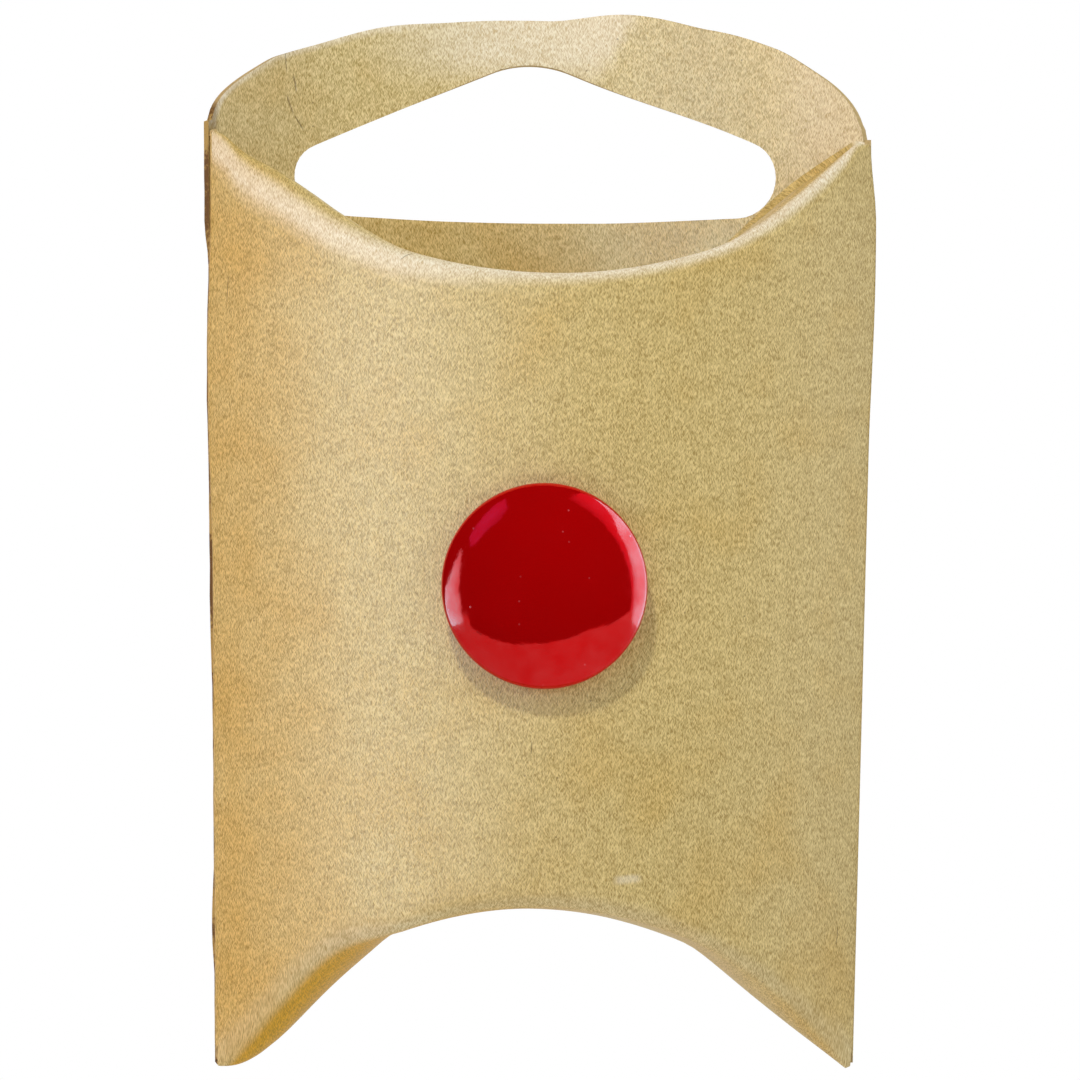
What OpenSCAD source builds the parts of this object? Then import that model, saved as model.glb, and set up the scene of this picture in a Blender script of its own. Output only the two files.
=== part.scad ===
// Hanging pillow pack of kraft board with a domed shank button shown on its front.
// +Z is up and the front faces -Y. The origin is the seat of the hang hole:
// the top of the hole, half-way through the board of the tab.

/* [Pack] */
// Width of the pack across its side folds
pack_w = 45.4; // [36:0.1:60]
// Height of the side folds from corner to corner
pack_h = 64; // [48:0.5:90]
// Depth of each bulged panel, and so the dip of the curved end folds
bulge = 10.2; // [9:0.1:13]
// Thickness of the kraft board
board_t = 0.45; // [0.3:0.05:0.7]
// Width of the blunt edge along each side fold
fold_flat = 0.6; // [0.3:0.05:1]

/* [Flaps and seam] */
// Slit between the free edge of the top flap and the tab behind it
flap_slit = 0.4; // [0.2:0.05:1]
// Distance from the back of the pack to the free edge of the outer bottom flap
outer_flap_setback = 2; // [1.2:0.1:4]
// Width of the strip glued inside the back panel
seam_w = 7; // [4:0.5:12]
// Length by which the raw edge of the back panel stands past the left side fold
seam_lip = 0.4; // [0.2:0.05:0.8]

/* [Hanging tab] */
// Height of the hang hole
hole_h = 11.4; // [8:0.1:14]
// Radius of the rounded lower corners of the hang hole
hole_r = 2.55; // [1.5:0.05:3]
// Radius of the rounded top of the hang hole
hole_crown_r = 6.5; // [2.5:0.1:8]
// Distance from each side fold to the hang hole
hole_side = 5.9; // [4.5:0.05:9]
// Depth by which the hang hole reaches below the corners of the pack
hole_drop = 4.7; // [3:0.1:5.5]
// Board left between the top of the hang hole and the top of the tab
tab_margin = 3.3; // [2.5:0.1:6]
// Distance by which each end of the tab is cut in from the side fold
tab_relief = 0.3; // [0.1:0.05:1]
// Height of the straight ends of the tab
tab_end_h = 1; // [0.5:0.1:2.5]
// Radius of the rounded shoulders of the tab
shoulder_r = 5; // [3:0.1:7]

/* [Display button] */
// Diameter of the button
button_d = 14; // [10:0.5:20]
// Radius of the rounded rim
rim_r = 0.8; // [0.5:0.05:1.2]
// Height of the crown above the middle of the rim
crown_h = 3.2; // [2:0.1:5]
// Wall of the shank on each side of its eye
eye_wall = 0.9; // [0.6:0.05:1.5]
// Wall of the shank behind its eye
shank_end = 0.9; // [0.6:0.05:2]
// Height of the button above the middle of the side folds
button_rise = 0.2; // [-8:0.1:8]

/* [Retaining pin] */
// Diameter of the pin through the eye of the shank
pin_d = 1.5; // [1:0.05:2]
// Length of the pin
pin_l = 12; // [8:0.5:20]
// Chamfer at the ends of the pin
pin_chamfer = 0.3; // [0.1:0.05:0.4]

/* [Clearances] */
// Clearance between the back of the button and the front panel
seat_gap = 0.1; // [0.05:0.05:0.3]
// Clearance between the pin and the inside of the front panel
pin_gap = 0.1; // [0.05:0.05:0.3]
// Radial clearance of the pin in the eye of the shank
eye_gap = 0.15; // [0.05:0.05:0.3]
// Radial clearance of the shank in its punched hole
shank_gap = 0.2; // [0.1:0.05:0.5]

/* [Hidden] */
$fn = 96;
// Overlap of cutters with what they cut, and the reach of cutters that pass right through
over = 1;
reach = pack_w + pack_h;
// Depth to which an added edge is let into the panel that carries it
sink = board_t / 10;

// Plan of the pack: two arcs that meet at the blunt side folds
fold_x = pack_w / 2;
panel_rise = bulge - fold_flat / 2;
panel_r = (fold_x * fold_x + panel_rise * panel_rise) / (2 * panel_rise);
arc_y = panel_r - bulge;
fold_angle = asin(fold_x / panel_r);

// Heights, and the plane of the side folds
hole_top = hole_h - hole_drop;
hole_w = pack_w - 2 * hole_side;
tab_rise = hole_top + tab_margin;
top_z = -hole_top;
bottom_z = top_z - pack_h;
fold_y = board_t / 2 - bulge;

// Tab: a flat crown arc between two shoulder arcs
tab_x = fold_x - tab_relief;
tab_arch = tab_rise - tab_end_h;
shoulder_x = tab_x - shoulder_r;
tab_crown_r = (shoulder_x * shoulder_x + tab_arch * tab_arch - shoulder_r * shoulder_r)
    / (2 * (tab_arch - shoulder_r));
shoulder_angle = asin(shoulder_x / (tab_crown_r - shoulder_r));

// Button: a crown arc that runs smoothly into the rim
rim_x = button_d / 2 - rim_r;
crown_r = (rim_x * rim_x + crown_h * crown_h - rim_r * rim_r) / (2 * (crown_h - rim_r));
rim_angle = asin(rim_x / (crown_r - rim_r));
button_z = top_z - pack_h / 2 + button_rise;
front_y = fold_y - bulge;
eye_d = pin_d + 2 * eye_gap;
shank_d = eye_d + 2 * eye_wall;
eye_depth = seat_gap + board_t + pin_gap + pin_d / 2;
shank_l = eye_depth + eye_d / 2 + shank_end;

// Area that one bulged panel closes in, set in by inset; facing 1 is the back and -1 the front
module panel_disc(facing, inset) {
    translate([0, -facing * arc_y]) circle(r = panel_r - inset);
}

// Plan of the closed pack, set in by inset from its outer face
module pack_plan(inset) {
    intersection() {
        panel_disc(1, inset);
        panel_disc(-1, inset);
        square([pack_w - 2 * inset, 2 * pack_w], center = true);
    }
}

// Column over a plan drawn about the middle of the side folds
module column(z_low, z_high) {
    translate([0, fold_y, z_low]) linear_extrude(z_high - z_low) children();
}

// Slab through the pack from front to back, from an elevation drawn in X and Z
module through_y() {
    translate([0, reach, 0]) rotate([90, 0, 0]) linear_extrude(2 * reach) children();
}

// Everything behind the plane of the side folds
module back_half() {
    translate([-reach, fold_y, -2 * reach]) cube([2 * reach, reach, 4 * reach]);
}

// Round log across the pack that hollows an end; end 1 is the top and -1 the bottom
module end_hollow(end, grow) {
    corner_z = end == 1 ? top_z : bottom_z;
    through_y() translate([0, corner_z + end * arc_y]) circle(r = panel_r + grow);
}

// A disc cut to the wedge between two directions from its centre, given as angles from +Y
module pie(r, from, to) {
    turn = to - from;
    spokes = [for (k = [0 : 4]) 2 * r * [sin(from + turn * k / 4), cos(from + turn * k / 4)]];
    intersection() {
        circle(r = r);
        polygon(concat([[0, 0]], spokes));
    }
}

// Elevation of the tab and of all that lies under it
module tab_elevation() {
    shoulder_far = 2 * shoulder_r * [sin(shoulder_angle), cos(shoulder_angle)];
    translate([-reach, top_z - reach]) square([2 * reach, reach]);
    translate([-tab_x, top_z - over]) square([2 * tab_x, tab_end_h + over]);
    translate([0, top_z + tab_end_h]) for (side = [0, 1]) mirror([side, 0]) {
        intersection() {
            translate([0, tab_arch - tab_crown_r]) circle(r = tab_crown_r);
            polygon([[0, -over], [shoulder_x, -over], [shoulder_x, 0],
                     [shoulder_x, 0] + shoulder_far, [0, 2 * tab_rise]]);
        }
        translate([shoulder_x, 0]) circle(r = shoulder_r);
    }
}

// Roof-shaped hang hole with round corners, hung from its top at the origin
module hang_hole() {
    crown = [0, -hole_crown_r];
    low = [hole_w / 2 - hole_r, hole_r - hole_h];
    slant = low - crown;
    roof = asin((hole_crown_r - hole_r) / norm(slant)) - atan2(slant[1], slant[0]);
    eave = [sin(roof), cos(roof)];
    right = [crown + hole_crown_r * eave, low + hole_r * eave, low, low - [0, hole_r]];
    intersection() {
        translate(crown) circle(r = hole_crown_r);
        translate([-reach, -hole_h / 2]) square([2 * reach, reach]);
    }
    for (side = [0, 1]) mirror([side, 0]) translate(low) circle(r = hole_r);
    polygon(concat(right, [for (k = [3 : -1 : 0]) [-right[k][0], right[k][1]]]));
}

// Strip of the front panel glued inside the back panel, along the left side fold
module glue_strip() {
    difference() {
        translate([-fold_x, fold_y, bottom_z]) cube([seam_w, reach, pack_h]);
        column(bottom_z - over, top_z + over) panel_disc(1, 2 * board_t);
    }
}

// Room inside the folded board
module pack_room() {
    difference() {
        column(bottom_z, top_z) pack_plan(board_t);
        end_hollow(-1, board_t);
        end_hollow(1, board_t);
        glue_strip();
    }
}

// Slit between the top flap's free edge and the tab
module flap_slit_cut() {
    slit_x = fold_x - 4 * board_t;
    intersection() {
        difference() {
            column(bottom_z, top_z) panel_disc(1, board_t);
            column(bottom_z - over, top_z + over) panel_disc(1, board_t + flap_slit);
        }
        translate([-slit_x, fold_y, top_z - bulge - 2 * board_t]) cube([2 * slit_x, reach, reach]);
    }
}

// Raw edge of the back panel, standing past the left side fold from a root inside the panel
module raw_edge() {
    root = 3 * board_t;
    lean = fold_angle - root / panel_r * 90 / PI;
    column(bottom_z + fold_flat, top_z + tab_end_h) translate([-fold_x, fold_flat / 2]) rotate(lean)
        translate([-seam_lip, -board_t - sink]) square([seam_lip + root, board_t]);
}

module pillow_pack() {
    color("#c9a873") difference() {
        union() {
            intersection() {
                column(bottom_z - over, top_z + tab_rise + over) pack_plan(0);
                through_y() tab_elevation();
            }
            raw_edge();
        }
        intersection() {
            column(bottom_z, top_z + tab_rise + 2 * over) panel_disc(1, board_t);
            end_hollow(1, 0);
        }
        pack_room();
        flap_slit_cut();
        end_hollow(-1, -board_t);
        intersection() {
            difference() {
                end_hollow(-1, 0);
                column(bottom_z - reach, top_z) panel_disc(1, outer_flap_setback);
            }
            back_half();
        }
        intersection() {
            through_y() hang_hole();
            back_half();
        }
        translate([0, fold_y, button_z]) rotate([90, 0, 0]) cylinder(r = shank_d / 2 + shank_gap, h = reach);
    }
}

module display_button() {
    color("#a3060c") translate([0, front_y - seat_gap - rim_r, button_z]) rotate([90, 0, 0]) {
        rotate_extrude() {
            intersection() {
                translate([0, crown_h - crown_r]) circle(r = crown_r);
                polygon([[0, -rim_r], [rim_x, -rim_r], [rim_x, 0],
                         [rim_x, 0] + 2 * rim_r * [sin(rim_angle), cos(rim_angle)], [0, 2 * crown_h]]);
            }
            translate([rim_x, 0]) pie(rim_r, rim_angle, 180);
        }
        difference() {
            translate([0, 0, -rim_r - shank_l]) cylinder(d = shank_d, h = shank_l + rim_r);
            translate([0, shank_d, -rim_r - eye_depth]) rotate([90, 0, 0])
                cylinder(d = eye_d, h = 2 * shank_d);
        }
    }
}

module retaining_pin() {
    color("#e8e4da") translate([0, front_y - seat_gap + eye_depth, button_z - pin_l / 2]) {
        cylinder(d1 = pin_d - 2 * pin_chamfer, d2 = pin_d, h = pin_chamfer);
        translate([0, 0, pin_chamfer]) cylinder(d = pin_d, h = pin_l - 2 * pin_chamfer);
        translate([0, 0, pin_l - pin_chamfer])
            cylinder(d1 = pin_d, d2 = pin_d - 2 * pin_chamfer, h = pin_chamfer);
    }
}

pillow_pack();
display_button();
retaining_pin();
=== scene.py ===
"""Looks of a hanging pillow pack of kraft board with a domed button shown on its front.

The pack is made the way the real one is: a flat blank is ruled into panels and flaps, punched,
bent round the plan of the pack and turned in at its curved ends. Sizes are in millimetres until
a mesh is finished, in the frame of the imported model: +Z is up and the front faces -Y.
"""

from __future__ import annotations

import logging
import math
from collections.abc import Iterable
from dataclasses import dataclass, field
from enum import Enum

import bmesh
import bpy
from mathutils import Matrix, Vector, noise

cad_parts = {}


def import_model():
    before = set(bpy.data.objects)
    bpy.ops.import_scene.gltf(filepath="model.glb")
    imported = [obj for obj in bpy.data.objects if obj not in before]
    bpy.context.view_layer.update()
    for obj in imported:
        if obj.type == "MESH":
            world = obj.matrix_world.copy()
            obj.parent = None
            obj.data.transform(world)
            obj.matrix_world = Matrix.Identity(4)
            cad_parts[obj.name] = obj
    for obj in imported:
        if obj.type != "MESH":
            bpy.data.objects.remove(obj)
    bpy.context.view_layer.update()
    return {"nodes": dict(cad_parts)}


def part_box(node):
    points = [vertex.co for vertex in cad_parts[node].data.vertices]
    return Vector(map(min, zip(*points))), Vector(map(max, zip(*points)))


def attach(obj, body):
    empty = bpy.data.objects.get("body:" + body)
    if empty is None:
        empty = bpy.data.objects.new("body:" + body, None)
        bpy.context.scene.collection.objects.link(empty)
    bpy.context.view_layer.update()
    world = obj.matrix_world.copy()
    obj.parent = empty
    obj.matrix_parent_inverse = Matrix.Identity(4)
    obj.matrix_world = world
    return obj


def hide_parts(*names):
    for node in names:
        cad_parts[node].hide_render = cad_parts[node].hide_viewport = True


LOG = logging.getLogger("pillow_pack")
MM = 0.001
TINY = 1e-4
MERGE = 1e-5
SHARP = math.radians(50.0)
Z_AXIS = Vector((0.0, 0.0, 1.0))

BLANK_UV = "blank"
UV_SPAN = 128.0
WEAR_AND_HIGHLIGHT = "fold_wear_and_highlight"
PAINTED_WARM_LIGHT_SHADE = "painted_warm_light_shade"
SOIL_AND_SHADE = "edge_soil_and_shade"
NOISE_MIDDLE = 0.5

Colour = tuple[float, float, float]

DARK: Colour = (0.02, 0.02, 0.02)
WHITE: Colour = (1.0, 1.0, 1.0)


# Shapes and marks in plain numbers


@dataclass(frozen=True)
class Ramp:
    """A smooth change from 0 at one value to a height at another, which may be the lower one."""

    zero_at: float
    full_at: float
    height: float = 1.0

    def at(self, value: float) -> float:
        """Height of the ramp there."""
        share = min(1.0, max(0.0, (value - self.zero_at) / (self.full_at - self.zero_at)))
        return self.height * share * share * (3.0 - 2.0 * share)


@dataclass(frozen=True)
class Hump:
    """A local departure from an even shape, which fades out at half_width on each side."""

    height: float
    middle: float
    half_width: float
    power: float = 2.0

    def at(self, value: float) -> float:
        """Height of the hump there."""
        share = (value - self.middle) / self.half_width
        return self.height * (1.0 - share * share) ** self.power if abs(share) < 1.0 else 0.0


@dataclass(frozen=True)
class Ripple:
    """An unevenness all over, of a height and a span, the same in every build."""

    height: float
    span: float
    shift: tuple[float, float, float] = (0.0, 0.0, 0.0)

    def at(self, place: Vector) -> float:
        """Departure there, up or down."""
        return self.height * noise.noise(place / self.span + Vector(self.shift))


def total(parts: Iterable[Hump | Ripple], place: float | Vector) -> float:
    """Sum of several humps or ripples."""
    return sum(part.at(place) for part in parts)


def arch(share: float) -> float:
    """Rise of a flap along its run: 1 half-way and 0 at both ends."""
    share = min(1.0, max(0.0, share))
    return 4.0 * share * (1.0 - share)


def toward(azimuth: float, elevation: float) -> Vector:
    """Direction from the pack; azimuth 0 is straight in front and turns to the right."""
    a, e = math.radians(azimuth), math.radians(elevation)
    return Vector((math.sin(a) * math.cos(e), -math.cos(a) * math.cos(e), math.sin(e)))


@dataclass(frozen=True)
class Streak:
    """A short straight mark on the board, from start to end."""

    start: tuple[float, float]
    end: tuple[float, float]
    width: float


@dataclass(frozen=True)
class Grain:
    """A noise: its waves to the millimetre, and the octaves of detail on them."""

    scale: float = 1.0
    detail: float = 2.0


@dataclass(frozen=True)
class Lay:
    """Strands that lie one way: their angle in degrees, their length and their width."""

    angle: float
    length: float
    width: float


@dataclass(frozen=True)
class Scatter:
    """Sparse specks: cells to the millimetre, the share of cells with a speck, and its size in cells."""

    scale: float
    share: float
    size: float


class Strip(Enum):
    """Upright strips of the blank, from left to right."""

    GLUE = "glue strip"
    LEFT_FOLD = "left fold"
    FRONT = "front panel"
    RIGHT_FOLD = "right fold"
    BACK = "back panel"


class Band(Enum):
    """Level bands of the blank, from bottom to top."""

    LOW = "bottom flaps"
    PANEL = "panels"
    HIGH = "top flap and tab"


# Columns and rows of the grid that each strip and each band of the blank is ruled into
COLUMNS = {Strip.GLUE: 8, Strip.LEFT_FOLD: 8, Strip.FRONT: 100, Strip.RIGHT_FOLD: 8, Strip.BACK: 100}
ROWS = {Band.LOW: 24, Band.PANEL: 60, Band.HIGH: 30}


# Shader maths


class Value:
    """A shader socket that takes part in Python sums: each operation adds a Math node."""

    def __init__(self, bench: Bench, socket: bpy.types.NodeSocket | None) -> None:
        """Keeps the bench that the socket belongs to, so that sums can add nodes."""
        self.bench = bench
        self.socket = socket

    def _math(self, operation: str, first: Term, second: Term) -> Value:
        """Adds one Math node over two terms."""
        return self.bench.add("ShaderNodeMath", {"operation": operation}, {0: first, 1: second})

    def __add__(self, other: Term) -> Value:
        """Sum of two terms."""
        return self._math("ADD", self, other)

    __radd__ = __add__

    def __sub__(self, other: Term) -> Value:
        """Difference of two terms."""
        return self._math("SUBTRACT", self, other)

    def __rsub__(self, other: Term) -> Value:
        """Difference with the socket as the second term."""
        return self._math("SUBTRACT", other, self)

    def __mul__(self, other: Term) -> Value:
        """Product of two terms."""
        return self._math("MULTIPLY", self, other)

    __rmul__ = __mul__

    def __abs__(self) -> Value:
        """Size of the value without its sign."""
        return self._math("ABSOLUTE", self, 0.0)


Term = Value | float | Colour


class Bench:
    """The node tree of a material or a world, cleared and ready to be wired."""

    def __init__(self, owner: bpy.types.Material | bpy.types.World) -> None:
        """Takes over the owner's node tree."""
        self.owner = owner
        owner.use_nodes = True
        self.tree = owner.node_tree
        self.tree.nodes.clear()

    @classmethod
    def material(cls, name: str) -> Bench:
        """Bench of a new material."""
        return cls(bpy.data.materials.new(name))

    def add(
        self,
        kind: str,
        settings: dict[str, object] | None = None,
        sockets: dict[str | int, Term] | None = None,
        out: str | int = 0,
    ) -> Value:
        """Adds one node.

        Args:
            kind: The node's type.
            settings: Properties of the node, set before its sockets.
            sockets: Values or links, by the socket's name, identifier or number.
            out: The output that is wanted, named in the same way.

        Returns:
            That output, ready for sums and links.
        """
        node = self.tree.nodes.new(kind)
        for name, setting in (settings or {}).items():
            setattr(node, name, setting)
        for key, term in (sockets or {}).items():
            socket = self._socket(node.inputs, key)
            if isinstance(term, Value):
                self.tree.links.new(term.socket, socket)
            elif isinstance(term, tuple) and socket.type == "RGBA":
                socket.default_value = (*term, 1.0)
            else:
                socket.default_value = term
        return Value(self, self._socket(node.outputs, out) if len(node.outputs) else None)

    @staticmethod
    def _socket(sockets: Iterable[bpy.types.NodeSocket], key: str | int) -> bpy.types.NodeSocket:
        """Finds a socket by number, identifier or name.

        Args:
            sockets: The inputs or the outputs of a node.
            key: Its number, identifier or name.

        Returns:
            The socket.
        """
        if isinstance(key, int):
            return sockets[key]
        for wanted in ("identifier", "name"):
            for socket in sockets:
                if getattr(socket, wanted) == key:
                    return socket
        raise KeyError(key)

    def mix(self, share: Term, first: Term, second: Term) -> Value:
        """Mixes two colours by a share."""
        sockets = {"Factor_Float": share, "A_Color": first, "B_Color": second}
        return self.add("ShaderNodeMix", {"data_type": "RGBA"}, sockets, "Result_Color")

    def ease(self, value: Term, low: float, high: float) -> Value:
        """Eases a value from 0 at low to 1 at high."""
        sockets = {"Value": value, "From Min": low, "From Max": high}
        return self.add("ShaderNodeMapRange", {"interpolation_type": "SMOOTHSTEP"}, sockets)

    def larger(self, first: Term, second: Term) -> Value:
        """The larger of two values."""
        return self.add("ShaderNodeMath", {"operation": "MAXIMUM"}, {0: first, 1: second})

    def attribute(self, name: str) -> Value:
        """A value kept with each corner of the mesh."""
        return self.add("ShaderNodeAttribute", {"attribute_name": name}, out="Fac")

    def part(self, place: Value, axis: str) -> Value:
        """One coordinate of a place."""
        return self.add("ShaderNodeSeparateXYZ", {}, {"Vector": place}, axis)

    def scaled(self, place: Value, factor: float) -> Value:
        """A place or a push, made larger or smaller."""
        return self.add("ShaderNodeVectorMath", {"operation": "SCALE"}, {0: place, "Scale": factor})

    def blank(self) -> Value:
        """Place on the flat blank, in millimetres."""
        return self.scaled(self.add("ShaderNodeUVMap", {"uv_map": BLANK_UV}), UV_SPAN)

    def solid(self) -> Value:
        """Place in the object's own frame, in millimetres."""
        return self.scaled(self.add("ShaderNodeTexCoord", out="Object"), 1 / MM)

    def noise(self, place: Value, grain: Grain, flat: bool = False, out: str | int = 0) -> Value:
        """Adds a noise over a place; a flat one leaves out the third direction.

        Args:
            place: Where the noise is read.
            grain: Its scale and detail.
            flat: Whether the third direction is left out.
            out: The output that is wanted.

        Returns:
            The noise, about 0.5.
        """
        settings = {"noise_dimensions": "2D" if flat else "3D"}
        sockets = {"Vector": place, "Scale": grain.scale, "Detail": grain.detail}
        return self.add("ShaderNodeTexNoise", settings, sockets, out)

    def along(
        self,
        place: Value,
        angle: float,
        length: float,
        width: float,
        start: tuple[float, float] = (0.0, 0.0),
    ) -> Value:
        """Measures a place along and across a direction.

        Args:
            place: The place to measure.
            angle: The direction, in radians.
            length: The unit along it.
            width: The unit across it.
            start: Where both measures begin.

        Returns:
            The place in those units.
        """
        sockets = {
            "Vector": place,
            "Location": (*start, 0.0),
            "Rotation": (0.0, 0.0, angle),
            "Scale": (length, width, 1.0),
        }
        return self.add("ShaderNodeMapping", {"vector_type": "TEXTURE"}, sockets)

    def stretched(self, place: Value, lay: Lay) -> Value:
        """Turns and stretches a place, so that a noise over it runs along a lay."""
        return self.along(place, math.radians(lay.angle), lay.length, lay.width)

    def specks(self, place: Value, scatter: Scatter) -> Value:
        """Draws sparse specks: 1 on each, 0 away from them.

        Args:
            place: Where the specks are read, across its first two directions.
            scatter: How many there are, and how large.

        Returns:
            The share of a speck there.
        """
        sockets = {"Vector": place, "Scale": scatter.scale}
        flat = {"voronoi_dimensions": "2D"}
        far = self.add("ShaderNodeTexVoronoi", flat, sockets, "Distance")
        draw = self.add("ShaderNodeTexVoronoi", flat, sockets, "Color")
        chance = self.add("ShaderNodeSeparateColor", {}, {"Color": draw}, "Red")
        bar, blur = 1.0 - scatter.share, 0.01
        return self.ease(chance, bar, bar + blur) * (1.0 - self.ease(far, scatter.size / 2, scatter.size))

    def streaks(self, place: Value, marks: Iterable[Streak]) -> Term:
        """Draws short marks: 1 along the middle of each, 0 away from them.

        Args:
            place: Where the marks are read.
            marks: The marks, in the units of the place.

        Returns:
            The share of a mark there, or plain 0 for no marks.
        """
        point, core = 0.3, 0.2
        drawn = 0.0
        for mark in marks:
            run = Vector(mark.end) - Vector(mark.start)
            local = self.along(place, math.atan2(run.y, run.x), run.length, mark.width, mark.start)
            down, across = self.part(local, "X"), abs(self.part(local, "Y"))
            line = self.ease(down, 0.0, point) * (1.0 - self.ease(down, 1.0 - point, 1.0))
            drawn = self.larger(line * (1.0 - self.ease(across, core, 1.0)), drawn)
        return drawn

    def bump(self, height: Value, depth: float) -> Value:
        """Normal of a surface raised by height times depth in millimetres."""
        return self.add("ShaderNodeBump", {}, {"Height": height, "Distance": depth * MM})

    def veiled(self, shader: Value, gone: Value) -> Value:
        """A shader that can be seen through where gone is 1."""
        clear = self.add("ShaderNodeBsdfTransparent")
        return self.add("ShaderNodeMixShader", {}, {0: gone, 1: shader, 2: clear})

    def surface(self, sockets: dict[str | int, Term]) -> bpy.types.Material:
        """Ends the material in a Principled surface with those sockets."""
        return self.end(self.add("ShaderNodeBsdfPrincipled", {}, sockets))

    def end(self, shader: Value) -> bpy.types.Material | bpy.types.World:
        """Sends a shader to the owner's output.

        Args:
            shader: The finished shader.

        Returns:
            The owner, now wired.
        """
        kind = "World" if isinstance(self.owner, bpy.types.World) else "Material"
        self.add(f"ShaderNodeOutput{kind}", {}, {"Surface": shader})
        return self.owner


# Finishes


@dataclass(frozen=True)
class KraftBoard:
    """Face of brown kraft board: fine matted strands and flecks, dirt at the seam, folds rubbed pale with a
    painted highlight, painted warm light and shade, and painted shade in its creases and on its shaded
    parts.
    """

    name: str
    dark: Colour
    light: Colour
    creases: tuple[Streak, ...] = ()
    flecks: tuple[Streak, ...] = ()
    # Pale colours: for rubbed folds and flecks, and for painted highlights
    rubbed_and_highlight_dark: Colour = (0.70, 0.56, 0.33)
    rubbed_and_highlight_light: Colour = (1.0, 0.95, 0.80)
    # Warm colours: for a real uneven tone, and for painted warm light and shade
    warm_dark: Colour = (0.40, 0.23, 0.004)
    warm_light: Colour = (0.74, 0.385, 0.008)
    # Dark colour: for specks and dirt, and for painted shade
    soil_and_shade_colour: Colour = (0.17, 0.10, 0.02)
    strand_lays: tuple[Lay, ...] = (Lay(90.0, 0.34, 0.09), Lay(62.0, 0.34, 0.09), Lay(117.0, 0.34, 0.09))
    strand_grain: Grain = Grain()
    strand_contrast: float = 4.5
    hair_lays: tuple[Lay, ...] = (Lay(64.0, 1.3, 0.10), Lay(119.0, 1.1, 0.09))
    hair_grain: Grain = Grain(1.0, 0.0)
    hair_range: tuple[float, float] = (0.69, 0.82)
    hair_contrast: float = 0.3
    hair_height: float = 0.1
    wave: Grain = Grain(1.3)
    wave_reach: float = 0.16
    mottle: Grain = Grain(0.9)
    mottle_contrast: float = 0.5
    drift: Grain = Grain(0.16)
    drift_middle: float = 0.53
    drift_warmth: float = 0.7
    specks: Scatter = Scatter(0.45, 0.08, 0.04)
    speck_strength: float = 0.6
    fleck_strength: float = 0.3
    soil_and_shade_strength: float = 0.65
    roughness: float = 0.62
    strand_sheen: float = 0.25
    rubbed_roughness: float = 0.1
    specular: float = 0.36
    relief: float = 0.05

    def waved(self, bench: Bench, place: Value) -> Value:
        """Pushes a place about a little, so that nothing on the board runs dead straight.

        Args:
            bench: The material's bench.
            place: Place on the blank.

        Returns:
            The place after the push.
        """
        push = bench.noise(place, self.wave, flat=True, out="Color")
        middle = (NOISE_MIDDLE, NOISE_MIDDLE, NOISE_MIDDLE)
        push = bench.add("ShaderNodeVectorMath", {"operation": "SUBTRACT"}, {0: push, 1: middle})
        push = bench.scaled(push, self.wave_reach)
        return bench.add("ShaderNodeVectorMath", {"operation": "ADD"}, {0: place, 1: push})

    def strands(self, bench: Bench, place: Value) -> Value:
        """Lays of short strands over each other, about 0.5 and higher on each strand.

        Args:
            bench: The material's bench.
            place: Place on the blank.

        Returns:
            The height of the heap.
        """
        heap = 0.0
        for lay in self.strand_lays:
            heap = bench.noise(bench.stretched(place, lay), self.strand_grain, flat=True) + heap
        return heap * (1.0 / len(self.strand_lays))

    def hairs(self, bench: Bench, place: Value) -> Value:
        """A few long pale fibres that lie loose on the face.

        Args:
            bench: The material's bench.
            place: Place on the blank.

        Returns:
            1 on a fibre, 0 elsewhere.
        """
        highest = 0.0
        for lay in self.hair_lays:
            hair = bench.noise(bench.stretched(place, lay), self.hair_grain, flat=True)
            highest = bench.larger(hair, highest)
        return bench.ease(highest, *self.hair_range)

    def colour(self, bench: Bench, place: Value, tone: Value) -> Value:
        """Colours the clean board.

        Args:
            bench: The material's bench.
            place: Place on the blank.
            tone: Share of the light colour in each pair.

        Returns:
            The board's colour, with its warm and its rubbed parts.
        """
        drift = bench.noise(place, self.drift, flat=True)
        # The warm attribute is painted warm light and shade; the drift adds a real uneven tone to it
        warmth = bench.attribute(PAINTED_WARM_LIGHT_SHADE) + self.drift_warmth * (drift - self.drift_middle)
        board = bench.mix(tone, self.dark, self.light)
        board = bench.mix(warmth, board, bench.mix(tone, self.warm_dark, self.warm_light))
        # Pale where worn, and as painted highlights along the folds and on the tab
        rubbed = bench.mix(tone, self.rubbed_and_highlight_dark, self.rubbed_and_highlight_light)
        return bench.mix(bench.attribute(WEAR_AND_HIGHLIGHT), board, rubbed)

    def material(self) -> bpy.types.Material:
        """Wires the board.

        Returns:
            The finished material.
        """
        bench = Bench.material(self.name)
        place = bench.blank()
        waved = self.waved(bench, place)
        strands = self.strands(bench, waved)
        hairs = self.hairs(bench, place)
        # Creases are drawn darker further down, as painted shade in them, and dented in the bump
        creases = bench.streaks(waved, self.creases)
        mottle = bench.noise(place, self.mottle, flat=True)
        tone = NOISE_MIDDLE + self.strand_contrast * (strands - NOISE_MIDDLE)
        tone = tone + self.mottle_contrast * (mottle - NOISE_MIDDLE) + self.hair_contrast * hairs
        board = self.colour(bench, place, tone)
        flecks = self.fleck_strength * bench.streaks(waved, self.flecks)
        board = bench.mix(flecks, board, self.rubbed_and_highlight_light)
        board = bench.mix(self.speck_strength * bench.specks(place, self.specks), board, self.soil_and_shade_colour)
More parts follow.
